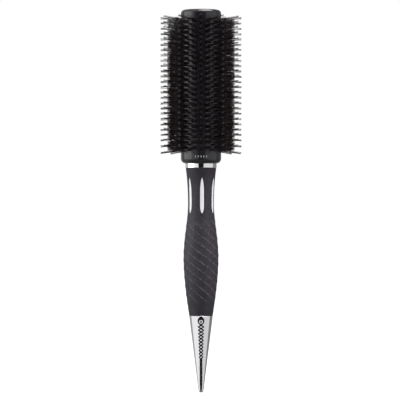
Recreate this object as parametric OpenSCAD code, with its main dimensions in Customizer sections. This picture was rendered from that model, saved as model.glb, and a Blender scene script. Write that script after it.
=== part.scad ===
// Round barrel brush for salon blow-drying.
// A tufted barrel and its collar are clamped to a soft-grip handle by a tie rod, which screws
// into the metal tail. Z runs along the brush from the tip of the tail, at 0, up to the flat
// end cap. All sizes are in millimetres.

/* [Barrel] */
// Outside diameter of the barrel, end cap and collar
barrel_d = 27.4; // [26:0.2:30]
// Length of the tufted barrel moulding
barrel_len = 92.4; // [86:0.1:110]
// Height of the end cap above the barrel
cap_h = 4.5; // [4:0.1:8]
// Radius of the end cap's rounded rim
cap_fillet = 2.4; // [1:0.1:3]
// Height of the collar under the barrel
collar_h = 7.5; // [7:0.1:12]
// Radius of the collar's rounded lower rim
collar_fillet = 3.4; // [1:0.1:3.4]

/* [Bristles] */
// Rows of nylon tufts, and as many rows of boar tufts between them
row_pairs = 11; // [8:1:11]
// Tufts in each boar row; a nylon row has one more, half a step lower
tufts_per_row = 25; // [12:1:25]
// Diameter over the tips of the nylon tufts
nylon_tip_d = 55.6; // [46:0.2:64]
// Diameter over the tips of the boar tufts
boar_tip_d = 46.6; // [36:0.2:48]
// How far the topmost tufts lean towards the end cap, in degrees
top_lean = 6; // [0:1:10]
// How far the lowest tufts lean towards the handle, in degrees
foot_lean = 7; // [0:1:12]

/* [Handle] */
// Length of the metal tail
tail_len = 52.3; // [45:0.1:70]
// Radius of the tail's rounded tip
tail_tip_r = 1.75; // [1:0.05:2]
// Radius where the tail meets the grip
tail_top_r = 8.05; // [7.9:0.05:9]
// Length of the soft grip
grip_len = 100.3; // [95:0.1:110]
// Greatest radius of the grip, at its belly
belly_r = 11.9; // [11:0.1:13]
// Least radius of the grip, at its waist
waist_r = 8.8; // [8.6:0.1:9.4]
// Radius of the grip's upper end
grip_top_r = 10.4; // [10.2:0.1:10.8]
// Outside radius of the chrome ring
ring_r = 10.6; // [10.2:0.05:11]
// Height of the chrome ring
ring_h = 2.9; // [2:0.1:5]
// Metal windows around the waist
windows = 6; // [3:1:6]
// Length of each window
window_len = 24.4; // [16:0.2:26]
// Greatest width of each window
window_w = 2.7; // [1.9:0.1:3]

/* [Hidden] */
$fn = 96;
FIT = 0.01;                       // gap that keeps two touching round faces apart
OVER = 1;                         // how far a cutter runs past the face that it opens
ROW_NAMES = ["01", "02", "03", "04", "05", "06", "07", "08", "09", "10", "11"];

// Heights of the joints between the stacked pieces
grip_top = tail_len + grip_len;
shadow_gap = 0.2;                 // groove between the grip and the ring
ring_z = grip_top + shadow_gap;
collar_z = ring_z + ring_h;
barrel_z = collar_z + collar_h;
cap_z = barrel_z + barrel_len;

// Inside of the barrel
barrel_r = barrel_d / 2;
bore_r = 7.6;
plug_len = 9;
plug_wall = 1.8;
cap_skin = 2;
boss_h = 3;                       // the collar's boss, which centres the barrel
web_h = 4;
web_top = barrel_z + boss_h + web_h;

// Tie rod and what it clamps
rod_r = 2;
rod_hole_r = 2.15;
rod_foot = tail_len - 12;
rod_gap = 1;                      // left below the rod at the bottom of its hole
rod_over_nut = 1.6;
washer_t = 0.8;
washer_r = 4.5;
lock_t = 1;
lock_r = 3.8;
lock_gap = 0.7;
nut_h = 3.2;
nut_af = 7;
rod_top = web_top + washer_t + lock_t + nut_h + rod_over_nut;

// Handle core
neck_r = 8.2;
hex_af = 12;
hex_h = 5.6;
hex_fit = 0.1;                    // clearance across the flats of the hexagonal neck
flange_r = 9.6;
flange_h = 2;
core_bore_r = 4.5;
core_web = 14;                    // solid length at the top of the core's bore
wall_mid = 2;
wall_end = 1.2;
rib_inset = 0.05;                 // the metal windows lie this far under the grip's surface
rib_side_gap = 0.1;
rib_foot_r = core_bore_r + 1;     // where the ribs' feet start, inside the core's wall
rib_steps = 12;
hex_root = 1;                     // depth of the hexagonal neck's foot in the round neck

// Tail
spigot_len = 10;
insert_r = 3;
insert_len = 12;
insert_grooves = 3;
groove_w = 1;
groove_depth = 0.35;

// Belly and waist of the grip, above the tip of the tail
belly_z = tail_len + 0.398 * grip_len;
waist_z = tail_len + 0.764 * grip_len;
outline_steps = 36;

// Windows: each is blunt at its foot, slender at its head and parallel in between
window_z = tail_len + 0.814 * grip_len;
window_turn = -85.5;              // one window faces a little to the right of the front
window_foot = 5;                  // length over which the foot widens
window_head = 9;                  // length over which the head narrows
window_fullness = 0.7;            // how full the ends are: 0.5 makes them elliptical
window_steps = 18;

// Tuft holes. Row 01 of the nylon faces the front, which is -Y
hole_depth = 4.5;
nylon_hole_r = 0.75;
boar_hole_r = 1.1;
hole_sides = 24;
anchor_h = 1.2;
anchor_t = 0.4;
anchor_gap = 0.03;                // between an anchor's ends and the wall of its hole
foot_margin = 1.45;               // lowest nylon hole above the foot of the barrel
head_margin = 2.2;                // highest nylon hole below the head of the barrel
pitch = (barrel_len - foot_margin - head_margin) / tufts_per_row;
front = -90;
row_step = 360 / row_pairs;
foot_fan = 3;                     // steps over which the lowest tufts fan out towards the handle
level_steps = 5;                  // steps from the foot to where the upward lean starts

function hermite(a, b, t) =
    let (h = b[0] - a[0], t2 = t * t, t3 = t2 * t)
    (2 * t3 - 3 * t2 + 1) * a[1] + (t3 - 2 * t2 + t) * h * a[2]
        + (3 * t2 - 2 * t3) * b[1] + (t3 - t2) * h * b[2];

// Each knot of the grip's outline is [height, radius, slope]
GRIP_KNOTS = [[tail_len, tail_top_r, 0.15], [belly_z, belly_r, 0],
              [waist_z, waist_r, 0], [grip_top, grip_top_r, 0.14]];

function span_at(z) = z < belly_z ? 0 : z < waist_z ? 1 : 2;
function grip_r(z) =
    let (k = span_at(z), a = GRIP_KNOTS[k], b = GRIP_KNOTS[k + 1])
    hermite(a, b, (z - a[0]) / (b[0] - a[0]));
function wall(z) = min(wall_mid, wall_end + (wall_mid - wall_end) * (z - tail_len) / (belly_z - tail_len));
function heights(low, high, n) = [for (i = [0:n]) low + (high - low) * i / n];

// Lean of the tuft that many steps above the lowest one, in degrees towards the end cap
function lean(steps) = steps < foot_fan
    ? -foot_lean * pow((foot_fan - steps) / foot_fan, 2)
    : top_lean * max(0, steps - level_steps) / (tufts_per_row - level_steps);

// Draws its children along +Z at the mouth of the tuft hole that many steps up a row at that angle
module at_hole(row_angle, steps)
    rotate([0, 0, row_angle])
        translate([barrel_r, 0, barrel_z + foot_margin + steps * pitch])
            rotate([0, 90 - lean(steps), 0])
                children();

// Repeats its children at every hole of nylon row k, or of the boar row beside it
module along_nylon_row(k)
    for (i = [0:tufts_per_row])
        at_hole(front + k * row_step, i) children();

module along_boar_row(k)
    for (i = [0:tufts_per_row - 1])
        at_hole(front + (k + 0.5) * row_step, i + 0.5) children();

module hole(r)
    translate([0, 0, -hole_depth])
        cylinder(r = r, h = hole_depth + OVER, $fn = hole_sides);

// Flat anchor across the bottom of a hole of radius r
module anchor(r) {
    len = 2 * (r - anchor_gap);
    translate([-anchor_t / 2, -len / 2, -hole_depth + FIT])
        cube([anchor_t, len, anchor_h]);
}

// A bundle of bristles, from its anchor out to its tips
module tuft(hole_r, tip_d) {
    foot = -hole_depth + anchor_h + 2 * FIT;
    translate([0, 0, foot])
        cylinder(r = hole_r - FIT, h = (tip_d - barrel_d) / 2 - foot, $fn = hole_sides);
}

module nylon_row(k)
    color([0.10, 0.09, 0.09])
        along_nylon_row(k) tuft(nylon_hole_r, nylon_tip_d);

module boar_row(k)
    color([0.13, 0.10, 0.09])
        along_boar_row(k) tuft(boar_hole_r, boar_tip_d);

module nylon_anchors()
    color("silver")
        for (k = [0:row_pairs - 1])
            along_nylon_row(k) anchor(nylon_hole_r);

module boar_anchors()
    color("silver")
        for (k = [0:row_pairs - 1])
            along_boar_row(k) anchor(boar_hole_r);

// Tube with a web near its foot, drilled for every tuft
module barrel_core()
    color([0.07, 0.07, 0.08])
        difference() {
            rotate_extrude()
                polygon([[rod_hole_r, barrel_z + boss_h], [bore_r, barrel_z + boss_h],
                         [bore_r, barrel_z], [barrel_r, barrel_z], [barrel_r, cap_z],
                         [bore_r, cap_z], [bore_r, web_top], [rod_hole_r, web_top]]);
            for (k = [0:row_pairs - 1]) {
                along_nylon_row(k) hole(nylon_hole_r);
                along_boar_row(k) hole(boar_hole_r);
            }
        }

// Half outline of a disc from height 0 to h, with its upper rim rounded by a true arc
module rounded_half(r, h, fillet) {
    square([r, h - fillet]);
    square([r - fillet, h]);
    translate([r - fillet, h - fillet])
        intersection() {
            circle(r = fillet);
            square(2 * fillet);
        }
}

// Rounded cap on a hollow plug that presses into the barrel
module end_cap()
    color([0.16, 0.16, 0.17])
        translate([0, 0, cap_z])
            rotate_extrude()
                difference() {
                    union() {
                        rounded_half(barrel_r, cap_h, cap_fillet);
                        translate([0, -plug_len]) square([bore_r - FIT, plug_len]);
                    }
                    translate([-OVER, -plug_len - OVER])
                        square([bore_r - plug_wall + OVER, plug_len + OVER + cap_h - cap_skin]);
                }

// Collar under the barrel: a boss centres the barrel, and a hexagonal socket takes the handle's neck
module collar() {
    color([0.16, 0.16, 0.17])
        difference() {
            translate([0, 0, barrel_z])
                rotate_extrude() {
                    mirror([0, 1]) rounded_half(barrel_r, collar_h, collar_fillet);
                    square([bore_r - FIT, boss_h - FIT]);
                }
            translate([0, 0, collar_z - OVER])
                cylinder(d = (hex_af + hex_fit) / cos(30), h = hex_h + OVER + hex_fit, $fn = 6);
            translate([0, 0, collar_z])
                cylinder(r = rod_hole_r, h = collar_h + boss_h + OVER);
        }
}

module chrome_ring() {
    bevel = 0.3;
    color("silver")
        rotate_extrude()
            polygon([[neck_r + FIT, ring_z], [ring_r - bevel, ring_z], [ring_r, ring_z + bevel],
                     [ring_r, collar_z - bevel], [ring_r - bevel, collar_z], [neck_r + FIT, collar_z]]);
}

// Half the width of a window at that distance above its foot
function window_half(s) =
    let (u = min(1, s / window_foot, (window_len - s) / window_head))
    window_w / 2 * pow(max(0, 1 - pow(1 - u, 2)), window_fullness);

// Outline of a window lying along X with its foot towards +X, drawn that far inside its edge
module window_outline(inset) {
    // The points crowd together at the two ends, where the outline turns
    along = [for (i = [0:window_steps]) window_len * (1 - cos(180 * i / window_steps)) / 2];
    scale([1 - 2 * inset / window_len, 1 - 2 * inset / window_w])
        polygon(concat(
            [for (s = along) [window_len / 2 - s, window_half(s)]],
            [for (i = [window_steps - 1:-1:1]) [window_len / 2 - along[i], -window_half(along[i])]]));
}

// Prisms out through the handle's wall at every window, each smaller all round by that inset
module window_prisms(inset)
    for (k = [0:windows - 1])
        rotate([0, 0, window_turn + k * 360 / windows])
            translate([rib_foot_r, 0, window_z])
                rotate([0, 90, 0])
                    linear_extrude(grip_top_r - rib_foot_r + OVER)
                        window_outline(inset);

// Plated core of the handle: its ribs show through the windows of the grip
module handle_core() {
    body_z = heights(tail_len, ring_z - flange_h, outline_steps);
    rib_reach = window_len / 2 + OVER;
    rib_z = heights(window_z - rib_reach, window_z + rib_reach, rib_steps);
    color("gainsboro")
        difference() {
            union() {
                rotate_extrude()
                    polygon(concat(
                        [[core_bore_r, tail_len]],
                        [for (z = body_z) [grip_r(z) - wall(z) - FIT, z]],
                        [[flange_r - FIT, ring_z - flange_h], [flange_r - FIT, ring_z], [neck_r, ring_z],
                         [neck_r, collar_z - FIT], [rod_hole_r, collar_z - FIT],
                         [rod_hole_r, grip_top - core_web], [core_bore_r, grip_top - core_web]]));
                intersection() {
                    rotate_extrude()
                        polygon(concat(
                            [[core_bore_r, rib_z[0]]],
                            [for (z = rib_z) [grip_r(z) - rib_inset, z]],
                            [[core_bore_r, rib_z[rib_steps]]]));
                    window_prisms(rib_side_gap);
                }
                translate([0, 0, collar_z - hex_root])
                    cylinder(d = hex_af / cos(30), h = hex_h + hex_root, $fn = 6);
            }
            translate([0, 0, grip_top - core_web - OVER])
                cylinder(r = rod_hole_r, h = collar_z + hex_h - grip_top + core_web + 2 * OVER);
        }
}

// Soft grip moulded over the core, open at the windows
module grip_sleeve() {
    body_z = heights(tail_len, grip_top, outline_steps);
    inner_z = heights(tail_len, ring_z - flange_h - FIT, outline_steps);
    color([0.22, 0.22, 0.23])
        difference() {
            rotate_extrude()
                polygon(concat(
                    [for (z = body_z) [grip_r(z), z]],
                    [[flange_r, grip_top], [flange_r, ring_z - flange_h - FIT]],
                    [for (i = [outline_steps:-1:0]) let (z = inner_z[i]) [grip_r(z) - wall(z), z]]));
            window_prisms(0);
        }
}

// Tapered sectioning tail with a spigot that enters the core
module tail_cone() {
    insert_z = tail_len + spigot_len - insert_len;
    // The cone meets its rounded tip where their slopes agree
    rise = tail_len - tail_tip_r;
    slope = atan2(tail_top_r, rise) - asin(tail_tip_r / norm([tail_top_r, rise]));
    color("silver")
        rotate_extrude() {
            intersection() {
                translate([0, tail_tip_r]) circle(r = tail_tip_r);
                square(2 * tail_tip_r);
            }
            polygon([[0, tail_tip_r * (1 - sin(slope))],
                     [tail_tip_r * cos(slope), tail_tip_r * (1 - sin(slope))],
                     [tail_top_r, tail_len - FIT], [core_bore_r - FIT, tail_len - FIT],
                     [core_bore_r - FIT, tail_len + spigot_len], [insert_r, tail_len + spigot_len],
                     [insert_r, insert_z], [rod_hole_r, insert_z], [rod_hole_r, rod_foot - rod_gap],
                     [0, rod_foot - rod_gap]]);
        }
}

// Threaded brass insert, grooved where the tail is moulded round it
module tail_insert() {
    foot = tail_len + spigot_len - insert_len;
    r = insert_r - FIT;
    land = insert_len / (insert_grooves + 1);
    color("goldenrod")
        difference() {
            translate([0, 0, foot + FIT]) cylinder(r = r, h = insert_len - FIT);
            translate([0, 0, foot - OVER]) cylinder(r = rod_r + FIT, h = insert_len + 2 * OVER);
            for (i = [1:insert_grooves])
                translate([0, 0, foot + i * land - groove_w / 2])
                    difference() {
                        cylinder(r = r + OVER, h = groove_w);
                        translate([0, 0, -OVER]) cylinder(r = r - groove_depth, h = groove_w + 2 * OVER);
                    }
        }
}

module tie_rod() {
    bevel = 0.5;
    color("silver")
        rotate_extrude()
            polygon([[0, rod_foot], [rod_r - bevel, rod_foot], [rod_r, rod_foot + bevel],
                     [rod_r, rod_top - bevel], [rod_r - bevel, rod_top], [0, rod_top]]);
}

module flat_washer()
    color("silver")
        translate([0, 0, web_top])
            difference() {
                cylinder(r = washer_r, h = washer_t);
                translate([0, 0, -OVER]) cylinder(r = rod_hole_r, h = washer_t + 2 * OVER);
            }

// Split spring washer
module lock_washer()
    color("silver")
        translate([0, 0, web_top + washer_t])
            difference() {
                cylinder(r = lock_r, h = lock_t);
                translate([0, 0, -OVER]) cylinder(r = rod_hole_r, h = lock_t + 2 * OVER);
                translate([0, -lock_gap / 2, -OVER]) cube([lock_r + OVER, lock_gap, lock_t + 2 * OVER]);
            }

module clamp_nut()
    color("silver")
        translate([0, 0, web_top + washer_t + lock_t])
            difference() {
                cylinder(d = nut_af / cos(30), h = nut_h, $fn = 6);
                translate([0, 0, -OVER]) cylinder(r = rod_r + FIT, h = nut_h + 2 * OVER);
            }

end_cap();
barrel_core();
collar();
chrome_ring();
handle_core();
grip_sleeve();
tail_cone();
tail_insert();
tie_rod();
flat_washer();
lock_washer();
clamp_nut();
nylon_anchors();
boar_anchors();
for (k = [0:row_pairs - 1]) {
    nylon_row(k);
    boar_row(k);
}
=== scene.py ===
"""Looks of the round barrel brush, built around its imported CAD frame. All lengths are in metres."""

import math
import random

import bmesh
import bpy
import numpy as np
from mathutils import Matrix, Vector


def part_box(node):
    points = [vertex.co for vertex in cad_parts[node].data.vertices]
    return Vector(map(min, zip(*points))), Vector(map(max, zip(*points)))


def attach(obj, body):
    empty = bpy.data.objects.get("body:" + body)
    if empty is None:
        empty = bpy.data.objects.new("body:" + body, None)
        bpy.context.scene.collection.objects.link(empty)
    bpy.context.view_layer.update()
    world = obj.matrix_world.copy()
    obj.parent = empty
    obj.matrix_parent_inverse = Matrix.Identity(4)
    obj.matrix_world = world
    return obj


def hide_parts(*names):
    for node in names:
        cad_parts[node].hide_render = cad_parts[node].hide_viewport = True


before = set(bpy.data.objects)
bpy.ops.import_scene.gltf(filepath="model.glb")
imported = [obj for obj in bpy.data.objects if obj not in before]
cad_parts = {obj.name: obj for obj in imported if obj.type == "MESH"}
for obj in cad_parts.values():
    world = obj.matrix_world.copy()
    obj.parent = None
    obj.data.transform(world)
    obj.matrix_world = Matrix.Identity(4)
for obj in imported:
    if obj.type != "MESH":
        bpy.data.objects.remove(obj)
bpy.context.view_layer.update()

MM = 0.001
SEED = 327
BODY = "root"
ROWS = [name[-2:] for name in sorted(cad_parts) if name.startswith("nylon_row_")]


# ---------------------------------------------------------------- sizes taken from the frame

def top_of(node):
    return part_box(node)[1][2]


def foot_of(node):
    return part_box(node)[0][2]


def radius_of(node):
    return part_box(node)[1][0]


barrel_r = radius_of("barrel_core")
barrel_foot, barrel_head = foot_of("barrel_core"), top_of("barrel_core")
cap_top = top_of("end_cap")
collar_foot = foot_of("collar")
ring_r, ring_foot, ring_top = radius_of("chrome_ring"), foot_of("chrome_ring"), top_of("chrome_ring")
grip_foot, grip_top = foot_of("grip_sleeve"), top_of("grip_sleeve")
tail_foot, tail_r = foot_of("tail_cone"), radius_of("tail_cone")
core_top = top_of("handle_core")
spigot_top = top_of("tail_cone")


# ---------------------------------------------------------------- materials

def shader(name, colour, roughness, metallic=0.0, ior=1.5):
    """A new Principled material, with its node tree and shader."""
    material = bpy.data.materials.new(name)
    material.use_nodes = True
    tree = material.node_tree
    principled = tree.nodes["Principled BSDF"]
    principled.inputs["Base Color"].default_value = (*colour, 1)
    principled.inputs["Roughness"].default_value = roughness
    principled.inputs["Metallic"].default_value = metallic
    principled.inputs["IOR"].default_value = ior
    return material, tree, principled


def noise(tree, feature, detail=3.0, stretch=(1, 1, 1)):
    """Noise in object space whose features are about that long, in metres."""
    coords = tree.nodes.new("ShaderNodeTexCoord")
    mapping = tree.nodes.new("ShaderNodeMapping")
    mapping.inputs["Scale"].default_value = stretch
    texture = tree.nodes.new("ShaderNodeTexNoise")
    texture.inputs["Scale"].default_value = 1 / feature
    texture.inputs["Detail"].default_value = detail
    tree.links.new(coords.outputs["Object"], mapping.inputs["Vector"])
    tree.links.new(mapping.outputs["Vector"], texture.inputs["Vector"])
    return texture.outputs["Fac"]


def spread(tree, value, low, high, socket):
    """Drives a number socket from noise, so that it runs from low to high."""
    remap = tree.nodes.new("ShaderNodeMapRange")
    remap.inputs["From Min"].default_value = 0.3
    remap.inputs["From Max"].default_value = 0.7
    remap.inputs["To Min"].default_value = low
    remap.inputs["To Max"].default_value = high
    tree.links.new(value, remap.inputs["Value"])
    tree.links.new(remap.outputs["Result"], socket)


def mottle(tree, value, dark, light, socket):
    """Drives a colour socket from noise, between two colours."""
    ramp = tree.nodes.new("ShaderNodeValToRGB")
    ramp.color_ramp.elements[0].position = 0.35
    ramp.color_ramp.elements[1].position = 0.65
    ramp.color_ramp.elements[0].color = (*dark, 1)
    ramp.color_ramp.elements[1].color = (*light, 1)
    tree.links.new(value, ramp.inputs["Fac"])
    tree.links.new(ramp.outputs["Color"], socket)
    return ramp.color_ramp


def bump(tree, value, height, principled, strength=1.0):
    """Relief of that height, in metres, from noise."""
    node = tree.nodes.new("ShaderNodeBump")
    node.inputs["Distance"].default_value = height
    node.inputs["Strength"].default_value = strength
    tree.links.new(value, node.inputs["Height"])
    tree.links.new(node.outputs["Normal"], principled.inputs["Normal"])


def moulded_plastic(name, dark, light, roughness):
    """Polished dark plastic with faint orange peel and uneven gloss."""
    material, tree, principled = shader(name, light, roughness, ior=1.52)
    mottle(tree, noise(tree, 6 * MM), dark, light, principled.inputs["Base Color"])
    spread(tree, noise(tree, 2.5 * MM), roughness * 0.8, roughness * 1.3, principled.inputs["Roughness"])
    bump(tree, noise(tree, 0.9 * MM), 0.004 * MM, principled)
    return material


def plated(name, colour, smooth, worn, scratch=0.002, metallic=1.0):
    """Bright plating with hairline scratches along the brush and patches of handling haze."""
    material, tree, principled = shader(name, colour, smooth, metallic=metallic)
    spread(tree, noise(tree, 5 * MM, detail=5.0), smooth, worn, principled.inputs["Roughness"])
    bump(tree, noise(tree, 0.25 * MM, detail=2.0, stretch=(1, 1, 0.05)), scratch * MM, principled)
    return material


def soft_touch_rubber():
    """Matt rubber with a fine grain and a painted sheen: paler on the crests of its ridges and in the
    middle of the grip, standing in for highlights.
    """
    material, tree, principled = shader("soft_touch_rubber", (0.019, 0.016, 0.022), 0.55, ior=1.4)
    # Painted sheen: an attribute blends the rubber towards a pale lilac that stands in for highlights
    painted_sheen = tree.nodes.new("ShaderNodeAttribute")
    painted_sheen.attribute_name = "painted_sheen"
    blend = tree.nodes.new("ShaderNodeMixRGB")
    mottle(tree, noise(tree, 4 * MM, detail=6.0), (0.016, 0.013, 0.019), (0.022, 0.018, 0.026),
           blend.inputs["Color1"])
    mottle(tree, noise(tree, 1.6 * MM), (0.020, 0.017, 0.024), (0.100, 0.088, 0.112),
           blend.inputs["Color2"])
    tree.links.new(painted_sheen.outputs["Fac"], blend.inputs["Fac"])
    tree.links.new(blend.outputs["Color"], principled.inputs["Base Color"])
    spread(tree, noise(tree, 9 * MM), 0.46, 0.62, principled.inputs["Roughness"])
    bump(tree, noise(tree, 0.22 * MM, detail=4.0), 0.02 * MM, principled)
    return material


TIP_GLINT_SHADE = 1.0                   # value of the strand attribute that marks a ball tip with a painted glint


def strand_material(name, dark, light, tip, roughness, ior):
    """Bristle material: each strand takes its shade from the mesh's strand attribute, as do its tips, which
    get a painted glint.
    """
    material, tree, principled = shader(name, dark, roughness, ior=ior)
    shade = tree.nodes.new("ShaderNodeAttribute")
    shade.attribute_name = "strand"
    ramp = mottle(tree, shade.outputs["Fac"], dark, light, principled.inputs["Base Color"])
    # Painted glint: ball tips take a light grey that stands in for their highlight
    ramp.elements.new(0.95 * TIP_GLINT_SHADE).color = (*light, 1)
    ramp.elements.new(TIP_GLINT_SHADE).color = (*tip, 1)
    spread(tree, noise(tree, 1.5 * MM), roughness * 0.85, roughness * 1.2, principled.inputs["Roughness"])
    return material


def machined(name, colour, roughness, feature):
    """Plain metal with fine tool marks."""
    material, tree, principled = shader(name, colour, roughness, metallic=1.0)
    spread(tree, noise(tree, feature), roughness * 0.8, roughness * 1.25, principled.inputs["Roughness"])
    bump(tree, noise(tree, feature / 3, stretch=(1, 1, 6)), 0.003 * MM, principled)
    return material


def printed_ink():
    """Pale printed ink, a little thin in places."""
    material, tree, principled = shader("printed_ink", (0.3, 0.3, 0.31), 0.45)
    mottle(tree, noise(tree, 0.4 * MM), (0.16, 0.16, 0.17), (0.34, 0.34, 0.35),
           principled.inputs["Base Color"])
    return material


def black_enamel():
    """Glossy black enamel that fills the etched border, slightly uneven."""
    material, tree, principled = shader("black_enamel", (0.006, 0.006, 0.007), 0.25)
    mottle(tree, noise(tree, 0.5 * MM), (0.004, 0.004, 0.005), (0.012, 0.012, 0.013),
           principled.inputs["Base Color"])
    bump(tree, noise(tree, 0.3 * MM), 0.004 * MM, principled)
    return material


cap_plastic = moulded_plastic("cap_plastic", (0.013, 0.011, 0.014), (0.019, 0.016, 0.021), 0.15)
barrel_plastic = moulded_plastic("barrel_plastic", (0.009, 0.007, 0.011), (0.014, 0.011, 0.017), 0.24)
ring_chrome = plated("ring_chrome", (0.90, 0.90, 0.91), 0.03, 0.07)
tail_chrome = plated("tail_chrome", (0.82, 0.81, 0.83), 0.035, 0.09)
core_plating = plated("core_plating", (0.80, 0.79, 0.82), 0.36, 0.46, scratch=0.004, metallic=0.2)
pearl = plated("pearl_enamel", (0.74, 0.73, 0.75), 0.40, 0.55, scratch=0.006, metallic=0.3)
grip_rubber = soft_touch_rubber()
# The third colour of each strand material is the painted glint on ball tips
nylon = strand_material("nylon_bristle", (0.007, 0.006, 0.008), (0.018, 0.015, 0.020), (0.24, 0.23, 0.25),
                        0.30, 1.42)
boar = strand_material("boar_bristle", (0.011, 0.008, 0.008), (0.066, 0.050, 0.046), (0.080, 0.060, 0.054),
                       0.42, 1.48)
steel = machined("fastener_steel", (0.55, 0.55, 0.56), 0.3, 1.2 * MM)
brass = machined("insert_brass", (0.78, 0.58, 0.28), 0.28, 1.5 * MM)
anchor_metal = machined("anchor_metal", (0.75, 0.75, 0.77), 0.35, 0.6 * MM)
ink = printed_ink()
enamel = black_enamel()


# ---------------------------------------------------------------- mesh helpers

def piece(name, verts, faces, material, slot, replaced=(), sharp_angle=35):
    """A smooth-shaded mesh piece on the brush's body, with edges over sharp_angle degrees kept sharp."""
    mesh = bpy.data.meshes.new(name)
    mesh.from_pydata([tuple(v) for v in verts], [], faces)
    mesh.materials.append(material)
    work = bmesh.new()
    work.from_mesh(mesh)
    bmesh.ops.remove_doubles(work, verts=work.verts, dist=1e-7)
    unused = [vert for vert in work.verts if not vert.link_faces]
    bmesh.ops.delete(work, geom=unused, context="VERTS")
    bmesh.ops.recalc_face_normals(work, faces=work.faces)
    for face in work.faces:
        face.smooth = True
    for edge in work.edges:
        edge.smooth = edge.calc_face_angle(0) < math.radians(sharp_angle)
    work.to_mesh(mesh)
    work.free()
    thing = bpy.data.objects.new(name, mesh)
    bpy.context.collection.objects.link(thing)
    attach(thing, BODY)
    if replaced:
        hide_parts(*replaced)
    return thing


def rounded(corners, steps=10):
    """Outline through corners given as (r, z, fillet radius), each fillet drawn as an arc."""
    points = []
    for i, (r, z, fillet) in enumerate(corners):
        if not fillet:
            points.append((r, z))
            continue
        here = np.array((r, z))
        back = np.array(corners[i - 1][:2]) - here
        on = np.array(corners[(i + 1) % len(corners)][:2]) - here
        back, on = back / np.linalg.norm(back), on / np.linalg.norm(on)
        half = math.acos(float(np.clip(back @ on, -1, 1))) / 2
        bisector = (back + on) / np.linalg.norm(back + on)
        centre = here + bisector * fillet / math.sin(half)
        start = here + back * fillet / math.tan(half) - centre
        end = here + on * fillet / math.tan(half) - centre
        turn = math.pi - 2 * half
        for k in range(steps + 1):
            t = k / steps
            arm = (math.sin((1 - t) * turn) * start + math.sin(t * turn) * end) / math.sin(turn)
            points.append(tuple(centre + arm))
    return points


BRACE = 0.06 * MM


def braced(outline):
    """The outline with a point near each end of every straight run, which keeps its shading flat."""
    points = []
    for (r, z), (next_r, next_z) in zip(outline, outline[1:] + outline[:1]):
        points.append((r, z))
        run = math.hypot(next_r - r, next_z - z)
        if run > 6 * BRACE:
            for t in (BRACE / run, 1 - BRACE / run):
                points.append((r + (next_r - r) * t, z + (next_z - z) * t))
    return points


def lathe(outline, segments=192):
    """Verts and faces of a closed outline turned about Z; points on the axis merge later."""
    outline = braced(outline)
    verts, faces = [], []
    n = len(outline)
    for s in range(segments):
        a = 2 * math.pi * s / segments
        verts += [(r * math.cos(a), r * math.sin(a), z) for r, z in outline]
    for s in range(segments):
        here, beside = s * n, (s + 1) % segments * n
        for i in range(n):
            j = (i + 1) % n
            if outline[i][0] == 0 and outline[j][0] == 0:
                continue
            ring = [here + i, beside + i, beside + j, here + j]
            if outline[i][0] == 0:
                ring = [here + i, beside + j, here + j]
            elif outline[j][0] == 0:
                ring = [here + i, beside + i, here + j]
            faces.append(ring)
    return verts, faces


def joined(*shapes):
    """One list of verts and one of faces from several shapes."""
    verts, faces = [], []
    for more_verts, more_faces in shapes:
        base = len(verts)
        verts += list(more_verts)
        faces += [[base + i for i in face] for face in more_faces]
    return verts, faces


def prism(radius, low, high, sides):
    """Closed prism about Z with that many sides."""
    ring = [(radius * math.cos(2 * math.pi * k / sides), radius * math.sin(2 * math.pi * k / sides))
            for k in range(sides)]
    verts = [(x, y, low) for x, y in ring] + [(x, y, high) for x, y in ring]
    faces = [[k, (k + 1) % sides, sides + (k + 1) % sides, sides + k] for k in range(sides)]
    faces += [list(reversed(range(sides))), list(range(sides, 2 * sides))]
    return verts, faces


# ---------------------------------------------------------------- grip outline, read from the CAD grip

GRIP_KNOTS = 37


def grip_outline():
    """(heights, radii) of the CAD grip's outer wall at its evenly spaced rings."""
    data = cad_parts["grip_sleeve"].data
    co = np.empty(len(data.vertices) * 3)
    data.vertices.foreach_get("co", co)
    co = co.reshape(-1, 3)
    radial = np.hypot(co[:, 0], co[:, 1])
    heights = np.linspace(grip_foot, grip_top, GRIP_KNOTS)
    radii = [radial[np.abs(co[:, 2] - z) < 0.02 * MM].max() for z in heights]
    return heights, np.array(radii)


KNOT_Z, KNOT_R = grip_outline()
KNOT_SLOPE = np.gradient(KNOT_R, KNOT_Z)


def grip_radius(z):
    """Smooth radius of the grip at height z."""
    step = KNOT_Z[1] - KNOT_Z[0]
    k = int(min(max((z - KNOT_Z[0]) / step, 0), GRIP_KNOTS - 2))
    t = min(max((z - KNOT_Z[k]) / step, 0), 1)
    a = (2 * t - 3) * t * t + 1
    b = ((t - 2) * t + 1) * t
    c = (t - 1) * t * t
    low = a * KNOT_R[k] + b * step * KNOT_SLOPE[k]
    return float(low + (1 - a) * KNOT_R[k + 1] + c * step * KNOT_SLOPE[k + 1])


def smoothstep(low, high, x):
    t = min(max((x - low) / (high - low), 0), 1)
    return t * t * (3 - 2 * t)


# ---------------------------------------------------------------- windows and the ribs that fill them

WINDOWS = 6
WINDOW_TURN = math.radians(-85.5)
WINDOW_LEN, WINDOW_W = 24.4 * MM, 2.7 * MM
WINDOW_FOOT = grip_foot + 0.814 * (grip_top - grip_foot) - WINDOW_LEN / 2
WINDOW_HEAD = WINDOW_FOOT + WINDOW_LEN
BLUNT_LEN, SLENDER_LEN = 5 * MM, 9 * MM    # how far a window's foot and head take to reach full width
FULLNESS = 0.7


def window_half_width(z):
    """Half width of a window at height z: blunt at its foot, slender at its head, nothing beyond them."""
    u = min(1, (z - WINDOW_FOOT) / BLUNT_LEN, (WINDOW_HEAD - z) / SLENDER_LEN)
    return WINDOW_W / 2 * (1 - (1 - u) ** 2) ** FULLNESS if u > 0 else 0.0


def window_rows(count=48):
    """Heights along a window, closer together at its ends."""
    return [WINDOW_FOOT + WINDOW_LEN * (1 - math.cos(math.pi * k / count)) / 2 for k in range(count + 1)]


# ---------------------------------------------------------------- grip

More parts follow.
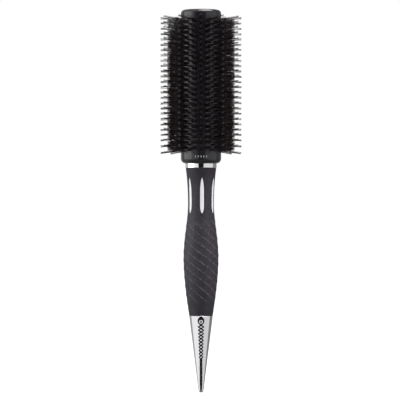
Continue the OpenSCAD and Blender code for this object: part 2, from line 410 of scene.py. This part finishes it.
RIDGES = 9
RIDGE_PITCH = 5.87 * MM
RIDGE_HEIGHT = 0.13 * MM
RIDGE_PHASE = 0.165
STEEP, GENTLE = 0.09, 0.40        # where a ridge's steep flank and gentle flank end, in ridge pitches
RIDGE_FOOT, RIDGE_TOP = grip_foot + 5 * MM, WINDOW_FOOT
FADE = 7 * MM
SHEEN_START = 0.5                  # how far up a ridge the painted highlight on its crest starts
MIDDLE_SHEEN = 0.14                       # strength of the painted sheen between the ridges, in the middle of the grip
COLUMNS = 48                      # columns of the grip's mesh from one window to the next
SLIT = 0.06 * MM                  # half width left at a window's very ends
BLEND = 3 * MM                    # length over which the columns even out past a window's ends
GRIP_WALL = 1.15 * MM
LIP_R = 9.95 * MM                 # soft lip that fills the gap under the ring
FLANGE_SEAT_R, FLANGE_SEAT_FOOT = 9.6 * MM, ring_foot - 2.9 * MM


def ridge(angle, z):
    """Height of the slanting ridges that wind round the grip, fading out above and below."""
    turns = (z - grip_foot) / RIDGE_PITCH + RIDGES * angle / (2 * math.pi) + RIDGE_PHASE
    t = turns - math.floor(turns)
    crest = smoothstep(0, STEEP, t) if t < STEEP else 1 - smoothstep(STEEP, GENTLE, t)
    fade = smoothstep(RIDGE_FOOT, RIDGE_FOOT + FADE, z) * (1 - smoothstep(RIDGE_TOP - FADE, RIDGE_TOP, z))
    return RIDGE_HEIGHT * crest * fade


def grip_columns(z):
    """Angles of the mesh columns at height z: beside the windows' edges, and along the ridges below."""
    sector = 2 * math.pi / WINDOWS
    beyond = max(WINDOW_FOOT - z, z - WINDOW_HEAD, 0)
    half = max(window_half_width(z), SLIT) / grip_radius(z)
    half += (sector / COLUMNS - half) * smoothstep(0, BLEND, beyond)
    step = (sector - 2 * half) / (COLUMNS - 2)
    twist = max(WINDOW_FOOT - z, 0) / RIDGE_PITCH * 2 * math.pi / RIDGES
    angles = []
    for k in range(WINDOWS):
        mid = WINDOW_TURN + twist + k * sector
        angles += [mid - half, mid, mid + half]
        angles += [mid + half + step * i for i in range(1, COLUMNS - 2)]
    return angles


def grip_bore(z):
    """Radius of the sleeve's inside at height z, opened out where the core's flange sits."""
    inside = grip_radius(z) - GRIP_WALL
    return inside if z < FLANGE_SEAT_FOOT else max(inside, FLANGE_SEAT_R)


def middle_sheen(z):
    """Even painted sheen on the rubber at that height, fading towards both ends of the grip."""
    foot = smoothstep(grip_foot + 10 * MM, grip_foot + 26 * MM, z)
    return MIDDLE_SHEEN * foot * (1 - smoothstep(grip_top - 14 * MM, grip_top - 5 * MM, z))


def store_painted_sheen(mesh):
    """Write how much painted sheen and painted crest highlight the rubber has at each vert, for its
    material to read.
    """
    painted_sheen = []
    for vert in mesh.vertices:
        x, y, z = vert.co
        # Painted highlight on the upper part of each ridge's crest
        crest = (ridge(math.atan2(y, x), z) / RIDGE_HEIGHT - SHEEN_START) / (1 - SHEEN_START)
        painted_sheen.append(max(crest, middle_sheen(z)))
    mesh.attributes.new("painted_sheen", "FLOAT", "POINT").data.foreach_set("value", painted_sheen)


def build_grip():
    """Rubber sleeve with ridges outside, windows cut through it, rolled edges and a lip under the ring."""
    slots = window_rows()
    low = list(np.linspace(grip_foot + 0.25 * MM, slots[0], 71))[:-1]
    high = list(np.linspace(slots[-1], grip_top - 0.25 * MM, 9))[1:]
    heights = low + slots + high
    foot_r, head_r, lip_top = grip_radius(grip_foot), grip_radius(grip_top), ring_foot - 0.02 * MM
    outside = [(grip_foot, foot_r - 0.25 * MM), (grip_foot + 0.07 * MM, foot_r - 0.07 * MM)]
    outside += [(z, grip_radius(z)) for z in heights]
    outside += [(grip_top - 0.07 * MM, head_r - 0.07 * MM), (grip_top, head_r - 0.25 * MM),
                (grip_top, LIP_R), (lip_top, LIP_R), (lip_top, FLANGE_SEAT_R)]
    inside = [(z, grip_bore(z)) for z in reversed(heights)] + [(grip_foot, foot_r - GRIP_WALL)]
    verts, faces = [], []
    for row, (z, r) in enumerate(outside + inside):
        for angle in grip_columns(z):
            here = r + (ridge(angle, z) if row < len(outside) else 0)
            verts.append((here * math.cos(angle), here * math.sin(angle), z))
    columns, rows = WINDOWS * COLUMNS, len(outside) + len(inside)
    first = 2 + len(low)
    last = first + len(slots) - 1

    def twin(row):
        """The inside row at the height of that outside row."""
        return len(outside) + len(heights) + 1 - row

    for row in range(rows):
        above = (row + 1) % rows
        open_here = first <= row < last or twin(last) <= row < twin(first)
        for column in range(columns):
            if open_here and column % COLUMNS < 2:
                continue
            here, beside = row * columns, above * columns
            side = (column + 1) % columns
            faces.append([here + column, here + side, beside + side, beside + column])
    for left in range(0, columns, COLUMNS):
        edge = [(row, left) for row in range(first, last + 1)] + [(last, left + 1)]
        edge += [(row, left + 2) for row in range(last, first - 1, -1)] + [(first, left + 1)]
        for (row, column), (next_row, next_column) in zip(edge, edge[1:] + edge[:1]):
            faces.append([row * columns + column, next_row * columns + next_column,
                          twin(next_row) * columns + next_column, twin(row) * columns + column])
    grip = piece("soft_grip", verts, faces, grip_rubber, "grip_rubber", ["grip_sleeve"], sharp_angle=50)
    store_painted_sheen(grip.data)


def build_handle_core():
    """Plated core: a turned body, a hexagonal neck and the crowned ribs that fill the windows."""
    flange_r, neck_r, hex_r, hole_r, bore_r = 9.55 * MM, 8.2 * MM, 6.93 * MM, 2.15 * MM, 4.5 * MM
    collar_seat = collar_foot - 0.01 * MM
    outline = [(bore_r, grip_foot)]
    for z in np.linspace(grip_foot, ring_foot - 2.05 * MM, 40):
        outline.append((grip_radius(z) - GRIP_WALL - 0.05 * MM, float(z)))
    outline += rounded([(flange_r - 0.05 * MM, ring_foot - 2 * MM, 0), (flange_r, ring_foot, 0.1 * MM),
                        (neck_r, ring_foot, 0), (neck_r, collar_seat, 0.3 * MM), (hole_r, collar_seat, 0)])
    outline += [(hole_r, grip_top - 14 * MM), (bore_r, grip_top - 14 * MM)]
    shapes = [lathe(outline, 96), prism(hex_r, collar_seat - 0.5 * MM, core_top, 6)]
    gap, crown, across = 0.05 * MM, 0.10 * MM, 8
    heights = window_rows()[1:-1]
    for k in range(WINDOWS):
        mid = WINDOW_TURN + k * 2 * math.pi / WINDOWS
        verts, faces = [], []
        for z in heights:
            half = max(window_half_width(z) - gap, 0.02 * MM)
            surface = grip_radius(z) - 0.12 * MM
            for i in range(across + 1):
                u = 2 * i / across - 1
                r = surface + crown * (1 - u * u) * min(half / (0.6 * MM), 1)
                angle = mid + u * half / surface
                verts.append((r * math.cos(angle), r * math.sin(angle), z))
            for u in (1, -1):
                angle = mid + u * half / surface
                r = surface - 1.3 * MM
                verts.append((r * math.cos(angle), r * math.sin(angle), z))
        n = across + 3
        for row in range(len(heights) - 1):
            for i in range(n):
                j = (i + 1) % n
                faces.append([row * n + i, row * n + j, (row + 1) * n + j, (row + 1) * n + i])
        faces += [list(range(n)), list(range((len(heights) - 1) * n, len(heights) * n))]
        shapes.append((verts, faces))
    verts, faces = joined(*shapes)
    return piece("plated_handle_core", verts, faces, core_plating, "plated_plastic", ["handle_core"])


# ---------------------------------------------------------------- turned pieces

def build_end_cap():
    plug_r, hollow_r = 7.59 * MM, 5.8 * MM
    plug_foot, ceiling = foot_of("end_cap"), cap_top - 2 * MM
    outline = rounded([
        (0, cap_top, 0), (barrel_r, cap_top, 2.4 * MM), (barrel_r, barrel_head, 0.12 * MM),
        (plug_r, barrel_head, 0), (plug_r, plug_foot, 0.4 * MM), (hollow_r, plug_foot, 0.2 * MM),
        (hollow_r, ceiling, 0.6 * MM), (0, ceiling, 0)])
    return piece("rounded_end_cap", *lathe(outline), cap_plastic, "cap_plastic", ["end_cap"])


def build_collar():
    boss_r, hole_r, socket_r = 7.59 * MM, 2.15 * MM, 7.0 * MM
    boss_top, socket_top = top_of("collar"), collar_foot + 5.7 * MM
    outline = rounded([
        (hole_r, boss_top, 0), (boss_r, boss_top, 0.3 * MM), (boss_r, barrel_foot, 0),
        (barrel_r, barrel_foot, 0.12 * MM), (barrel_r, collar_foot, 3.4 * MM),
        (socket_r, collar_foot, 0.2 * MM), (socket_r, socket_top, 0), (hole_r, socket_top, 0)])
    return piece("rounded_collar", *lathe(outline), cap_plastic, "cap_plastic", ["collar"])


def build_ring():
    hole_r = 8.21 * MM
    outline = rounded([
        (hole_r, ring_foot, 0), (ring_r, ring_foot, 0.12 * MM), (ring_r, ring_top, 0.12 * MM),
        (hole_r, ring_top, 0)], 5)
    return piece("polished_ring", *lathe(outline), ring_chrome, "ring_chrome", ["chrome_ring"])


TIP_R = 1.75 * MM
TAIL_RISE = grip_foot - tail_foot - TIP_R
TAIL_SLOPE = math.atan2(tail_r, TAIL_RISE) - math.asin(TIP_R / math.hypot(tail_r, TAIL_RISE))


def tail_radius(z):
    """Radius of the tail's straight cone at height z."""
    return tail_r - (grip_foot - z) * math.tan(TAIL_SLOPE)


def build_tail():
    """Tapered tail with a rounded tip, and the spigot and rod hole inside the handle."""
    spigot_r, hole_r, hole_foot = 4.49 * MM, 2.15 * MM, grip_foot - 13 * MM
    outline = [(0, tail_foot)]
    for k in range(1, 13):
        a = (math.pi / 2 - TAIL_SLOPE) * k / 12
        outline.append((TIP_R * math.sin(a), tail_foot + TIP_R * (1 - math.cos(a))))
    outline += [(tail_radius(z), z) for z in np.linspace(outline[-1][1], grip_foot - 0.06 * MM, 25)[1:]]
    outline += [(tail_r - 0.04 * MM, grip_foot - 0.02 * MM), (spigot_r, grip_foot - 0.02 * MM),
                (spigot_r, spigot_top), (3 * MM, spigot_top), (3 * MM, spigot_top - 12 * MM),
                (hole_r, spigot_top - 12 * MM), (hole_r, hole_foot), (0, hole_foot)]
    return piece("tapered_tail", *lathe(outline), tail_chrome, "tail_chrome", ["tail_cone"], sharp_angle=25)


# ---------------------------------------------------------------- surface marks

def stamp(half_width, height, mid_angle, mid_z, surface_r, lift, rows=12, columns=10):
    """A thin plate wrapped on a turned surface; half_width(t) runs from t = -1 at its foot to 1."""
    verts, faces = [], []
    across, layer = columns + 1, (rows + 1) * (columns + 1)
    for depth in (lift, -0.05 * MM):
        for k in range(rows + 1):
            t = -math.cos(math.pi * k / rows)
            z = mid_z + t * height / 2
            r = surface_r(z)
            for i in range(across):
                a = mid_angle + half_width(t) * (2 * i / columns - 1) / r
                verts.append(((r + depth) * math.cos(a), (r + depth) * math.sin(a), z))
    for k in range(rows):
        for i in range(columns):
            quad = [k * across + i, k * across + i + 1, (k + 1) * across + i + 1, (k + 1) * across + i]
            faces += [quad, [layer + corner for corner in reversed(quad)]]
    rim = list(range(across)) + [(k + 1) * across - 1 for k in range(1, rows + 1)]
    rim += [rows * across + i for i in reversed(range(columns))]
    rim += [k * across for k in reversed(range(1, rows))]
    for here, beside in zip(rim, rim[1:] + rim[:1]):
        faces.append([here, beside, layer + beside, layer + here])
    return verts, faces


def oval(width):
    return lambda t: width / 2 * math.sqrt(max(1 - t * t, 0))


def rhomb(width):
    return lambda t: width / 2 * (1 - abs(t))


FRONT = math.radians(-90)


def build_collar_marks():
    """Five plain size pips printed on the front of the collar."""
    mid_z, spacing = collar_foot + 4.6 * MM, 1.9 * MM
    pips = []
    for step in range(-2, 3):
        angle = FRONT + step * spacing / barrel_r
        pips.append(stamp(oval(0.8 * MM), 1.7 * MM, angle, mid_z, lambda z: barrel_r, 0.02 * MM))
    return piece("collar_pips", *joined(*pips), ink, "cap_plastic")


def build_tail_marks():
    """A plain badge and border down the front of the tail: enamelled beads with pearl centres."""
    dark, bright = [], []
    badge_w, badge_h, eye_drop = 4.8 * MM, 5.6 * MM, 0.6 * MM
    low, middle, high = 0.012 * MM, 0.018 * MM, 0.024 * MM      # how far each layer stands out
    z = grip_foot - 0.5 * MM - badge_h / 2
    dark.append(stamp(oval(badge_w), badge_h, FRONT, z, tail_radius, low))
    bright.append(stamp(oval(badge_w * 0.55), badge_h * 0.45, FRONT, z - eye_drop, tail_radius, middle))
    dark.append(stamp(rhomb(badge_w * 0.34), badge_h * 0.3, FRONT, z - eye_drop, tail_radius, high))
    pitch, lowest = 2.3 * MM, tail_foot + 22.5 * MM
    z -= badge_h / 2 + 0.1 * MM + pitch / 2
    while z > lowest:
        width = 0.62 * tail_radius(z)
        dark.append(stamp(oval(width), pitch * 0.97, FRONT, z, tail_radius, low))
        bright.append(stamp(rhomb(width * 0.5), pitch * 0.5, FRONT, z, tail_radius, middle))
        z -= pitch
    piece("tail_enamel", *joined(*dark), enamel, "tail_chrome")
    piece("tail_etching", *joined(*bright), pearl, "tail_chrome")


# ---------------------------------------------------------------- bristles

def tufts_of(node):
    """(foot, tip) of every tuft of a CAD row: the ends of each separate solid's long axis."""
    work = bmesh.new()
    work.from_mesh(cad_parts[node].data)
    bmesh.ops.remove_doubles(work, verts=work.verts, dist=0.002 * MM)
    seen, tufts = set(), []
    for start in work.verts:
        if start in seen:
            continue
        seen.add(start)
        island, queue = [], [start]
        while queue:
            vert = queue.pop()
            island.append(vert.co[:])
            for edge in vert.link_edges:
                other = edge.other_vert(vert)
                if other not in seen:
                    seen.add(other)
                    queue.append(other)
        points = np.array(island)
        middle = (points.max(0) + points.min(0)) / 2
        axis = np.linalg.svd(points - points.mean(0))[2][0]
        if axis[:2] @ middle[:2] < 0:
            axis = -axis
        along = (points - middle) @ axis
        tufts.append((middle + axis * along.min(), middle + axis * along.max()))
    work.free()
    return sorted(tufts, key=lambda tuft: tuft[0][2])


def strands(paths, radii, sides, shades, profile):
    """Verts, faces and per-vert shades of closed strands, root to tip; a girth over 1 is a ball tip, which
    takes the painted glint shade.
    """
    verts, faces, tints = [], [], []
    turn = [2 * math.pi * k / sides for k in range(sides)]
    for path, radius, shade in zip(paths, radii, shades):
        direction = path[-1] - path[0]
        direction /= np.linalg.norm(direction)
        u = np.cross(direction, (0, 0, 1))
        u /= np.linalg.norm(u)
        v = np.cross(direction, u)
        base, rings = len(verts), len(path)
        for point, (_, girth) in zip(path, profile):
            verts += [point + radius * girth * (math.cos(a) * u + math.sin(a) * v) for a in turn]
        for i in range(rings - 1):
            for k in range(sides):
                a, b = base + i * sides + k, base + i * sides + (k + 1) % sides
                faces.append([a, b, b + sides, a + sides])
        faces.append([base + k for k in reversed(range(sides))])
        faces.append([base + (rings - 1) * sides + k for k in range(sides)])
        for _, girth in profile:
            tints += [TIP_GLINT_SHADE if girth > 1 else shade] * sides
    return verts, faces, tints


def grow(tufts, chance, profile, count, hole_r, spread_r, radius, length_range, bend, flare, stray):
    """Paths, radii and shades of the strands of a row of tufts."""
    paths, radii, shades = [], [], []
    golden = math.pi * (3 - math.sqrt(5))
    for foot, tip in tufts:
        axis = tip - foot
        full = np.linalg.norm(axis)
        axis /= full
        side = np.cross((0, 0, 1), axis)
        side /= np.linalg.norm(side)
        up = np.cross(axis, side)
        # Strands start just under the barrel's surface
        reach = (math.hypot(tip[0], tip[1]) - barrel_r) / math.hypot(axis[0], axis[1]) + 0.8 * MM
        root = tip - axis * reach
        drift = spread_r * np.array((chance.gauss(0, 0.12), chance.gauss(0, 0.12)))
        for k in range(count):
            out = math.sqrt((k + 0.5) / count)
            a = k * golden + chance.uniform(-0.4, 0.4)
            ray = out * np.array((math.cos(a), math.sin(a)))
            start = hole_r * 0.85 * ray
            end = spread_r * chance.uniform(0.7, 1.15) * ray + drift
            if chance.random() < stray:
                end = end * 1.4
            bow = np.array((chance.gauss(0, bend), chance.gauss(0, bend)))
            length = reach * chance.uniform(*length_range)
            path = []
            for t, _ in profile:
                flat = start + (end - start) * t ** flare + bow * 4 * t * (1 - t)
                path.append(root + axis * length * t + side * flat[0] + up * flat[1])
            paths.append(np.array(path))
            radii.append(radius * chance.uniform(0.88, 1.12))
            shades.append(0.9 * TIP_GLINT_SHADE * chance.random())
    return paths, radii, shades


def build_row(kind, row, material, sides, profile, **growth):
    """Replaces one CAD row of plain tufts with separate strands."""
    node = f"{kind}_row_{row}"
    chance = random.Random(f"{SEED}-{node}")
    paths, radii, shades = grow(tufts_of(node), chance, profile, **growth)
    verts, faces, tints = strands(paths, radii, sides, shades, profile)
    name = f"{kind}_strands_{row}"
    row_piece = piece(name, verts, faces, material, f"{kind}_bristle", [node], sharp_angle=70)
    layer = row_piece.data.attributes.new("strand", "FLOAT", "POINT")
    layer.data.foreach_set("value", tints)
    return row_piece


# Girth of a strand along its length: nylon ends in a small ball with a painted glint, boar tapers
NYLON_PROFILE = [(0, 1), (0.4, 0.97), (0.8, 0.94), (0.955, 0.95), (0.97, 1.25), (0.987, 1.3), (0.996, 0.95),
                 (1, 0.3)]
BOAR_PROFILE = [(0, 1), (0.4, 0.95), (0.75, 0.85), (1, 0.4)]

build_end_cap()
build_collar()
build_ring()
build_grip()
build_handle_core()
build_tail()
build_collar_marks()
build_tail_marks()
for row in ROWS:
    build_row("nylon", row, nylon, 6, NYLON_PROFILE, count=5, hole_r=0.65 * MM, spread_r=0.85 * MM,
              radius=0.15 * MM, length_range=(0.985, 1.015), bend=0.18 * MM, flare=1.2, stray=0.10)
    build_row("boar", row, boar, 4, BOAR_PROFILE, count=58, hole_r=1.05 * MM, spread_r=1.95 * MM,
              radius=0.10 * MM, length_range=(0.90, 1.02), bend=0.16 * MM, flare=1.5, stray=0.06)

CAD_LOOKS = {"barrel_core": barrel_plastic, "tail_insert": brass, "tie_rod": steel, "flat_washer": steel,
             "lock_washer": steel, "clamp_nut": steel, "nylon_anchors": anchor_metal,
             "boar_anchors": anchor_metal}
for node, material in CAD_LOOKS.items():
    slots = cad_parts[node].data.materials
    slots.clear()
    slots.append(material)


# ---------------------------------------------------------------- stage, light and camera

def add_mesh(name, verts, faces, material):
    mesh = bpy.data.meshes.new(name)
    mesh.from_pydata(verts, [], faces)
    mesh.materials.append(material)
    thing = bpy.data.objects.new(name, mesh)
    bpy.context.collection.objects.link(thing)
    return thing


def build_floor():
    """Pale floor that fades into the white surroundings."""
    material, tree, principled = shader("pale_floor", (0.86, 0.86, 0.86), 0.9)
    mottle(tree, noise(tree, 0.4), (0.85, 0.85, 0.85), (0.87, 0.87, 0.87), principled.inputs["Base Color"])
    principled.inputs["Emission Color"].default_value = (1, 1, 1, 1)
    principled.inputs["Emission Strength"].default_value = 0.35
    reach, drop = 6.0, -0.2 * MM
    corners = [(-reach, -reach, drop), (reach, -reach, drop), (reach, reach, drop), (-reach, reach, drop)]
    floor = add_mesh("floor", corners, [[0, 1, 2, 3]], material)
    floor.visible_glossy = False
    floor.visible_diffuse = False


def build_card(name, corners, grey):
    """A card that shows only in reflections, as a photographer's flag does."""
    material, _, principled = shader(name, (grey, grey, grey), 1.0)
    principled.inputs["Specular IOR Level"].default_value = 0.0
    card = add_mesh(name, corners, [list(range(len(corners)))], material)
    card.visible_camera = False
    card.visible_diffuse = False
    card.visible_shadow = False
    card.visible_transmission = False


def build_light(name, place, target, size, radiance, glossy=True, diffuse=True):
    """A softbox of that width and height and radiance."""
    lamp = bpy.data.lights.new(name, "AREA")
    lamp.shape = "RECTANGLE"
    lamp.size, lamp.size_y = size
    lamp.energy = radiance * math.pi * size[0] * size[1]
    thing = bpy.data.objects.new(name, lamp)
    bpy.context.collection.objects.link(thing)
    thing.location = place
    thing.rotation_euler = (Vector(target) - Vector(place)).to_track_quat("-Z", "Y").to_euler()
    thing.visible_camera = False
    thing.visible_glossy = glossy
    thing.visible_diffuse = diffuse


def round_point(azimuth, distance, z):
    """Point at that azimuth round the brush, in degrees from the camera towards the right."""
    a = math.radians(azimuth)
    return (distance * math.sin(a), -distance * math.cos(a), z)


CAMERA_FAR = 1.63
VIEW_HEIGHT = 0.1309
VIEW_SPAN = 0.272
AXIS_SHIFT = -0.00068

build_floor()
high = (0, 0, 0.5)
build_light("left_softbox", round_point(-86, 1.4, 0.5), high, (1.7, 1.15), 1.4, diffuse=False)
build_light("left_fill", round_point(-50, 1.5, 0.5), high, (1.2, 1.2), 1.0, glossy=False)
build_light("right_fill", round_point(66, 1.5, 0.5), high, (1.3, 1.2), 3.8, glossy=False)
build_light("top_softbox", (0.45, -0.3, 1.7), (0, 0, 0.25), (1.5, 1.1), 9.5, diffuse=False)

CARD_Y = -1.5
STRIPE = 0.92 * MM                # half width of the dark stripe that the tail mirrors


def mirrored_on_card(radius, z, turn, tilt=0.0):
    """(x, z) where the camera sees the card's plane in a turned surface, at that turn off the front."""
    point = Vector((radius * math.sin(turn), -radius * math.cos(turn), z))
    normal = Vector((math.cos(tilt) * math.sin(turn), -math.cos(tilt) * math.cos(turn), math.sin(tilt)))
    ray = (point - Vector((AXIS_SHIFT, -CAMERA_FAR, VIEW_HEIGHT))).reflect(normal)
    on_card = point + ray * ((CARD_Y - point.y) / ray.y)
    return (on_card.x, on_card.z)


def front_card_edge(side, cap_turn, collar_turn, ring_turn):
    """One edge of the dark front card, from the ground up, where each chrome or glossy piece sees it."""
    edge = [(side * 1.3, -1.0)]
    for z in np.linspace(tail_foot + 6 * MM, grip_foot - 1 * MM, 8):
        turn = side * math.asin(STRIPE / tail_radius(z))
        edge.append(mirrored_on_card(tail_radius(z), float(z), turn, -TAIL_SLOPE))
    for radius, z, turn in ((ring_r, ring_foot - 12 * MM, ring_turn), (ring_r, ring_top, ring_turn),
                            (barrel_r, barrel_foot - 2 * MM, collar_turn), (barrel_r, cap_top, cap_turn)):
        edge.append(mirrored_on_card(radius, z, side * math.radians(turn)))
    return edge + [(edge[-1][0], 1.0)]


front_right = front_card_edge(1, cap_turn=15, collar_turn=15, ring_turn=9.5)
front_left = front_card_edge(-1, cap_turn=20, collar_turn=20, ring_turn=9.5)
build_card("front_card", [(x, CARD_Y, z) for x, z in front_right + front_left[::-1]], 0.01)
for name, start, end, grey in (("left_edge_card", -176, -110, 0.48), ("right_edge_card", 174, 98, 0.25)):
    corners = [(start, -0.9), (end, -0.9), (end, 1.2), (start, 1.2)]
    build_card(name, [round_point(azimuth, 0.9, z) for azimuth, z in corners], grey)


def build_world():
    """White surroundings that darken towards the ground and a little towards the right."""
    world = bpy.data.worlds.new("studio")
    bpy.context.scene.world = world
    world.use_nodes = True
    tree = world.node_tree
    coords = tree.nodes.new("ShaderNodeTexCoord")
    split = tree.nodes.new("ShaderNodeSeparateXYZ")
    tree.links.new(coords.outputs["Generated"], split.inputs["Vector"])
    product = tree.nodes.new("ShaderNodeMath")
    product.operation = "MULTIPLY"
    # Each ramp is (axis, where it starts and ends, brightness at the start and at the end)
    ramps = [("Z", -0.80, -0.40, 0.15, 1.0), ("X", 0.2, 0.6, 1.0, 0.74)]
    for i, (axis, start, end, dim, full) in enumerate(ramps):
        ramp = tree.nodes.new("ShaderNodeMapRange")
        ramp.interpolation_type = "SMOOTHSTEP"
        ramp.inputs["From Min"].default_value = start
        ramp.inputs["From Max"].default_value = end
        ramp.inputs["To Min"].default_value = dim
        ramp.inputs["To Max"].default_value = full
        tree.links.new(split.outputs[axis], ramp.inputs["Value"])
        tree.links.new(ramp.outputs["Result"], product.inputs[i])
    tree.links.new(product.outputs["Value"], tree.nodes["Background"].inputs["Strength"])
    tree.nodes["Background"].inputs["Color"].default_value = (1, 1, 1, 1)


build_world()
bpy.context.scene.view_settings.view_transform = "Standard"

camera = bpy.data.cameras.new("camera")
camera.sensor_width = 36
camera.lens = camera.sensor_width * CAMERA_FAR / VIEW_SPAN
camera.clip_end = 50
camera_object = bpy.data.objects.new("camera", camera)
bpy.context.collection.objects.link(camera_object)
camera_object.location = (AXIS_SHIFT, -CAMERA_FAR, VIEW_HEIGHT)
camera_object.rotation_euler = (math.pi / 2, 0, 0)
bpy.context.scene.camera = camera_object
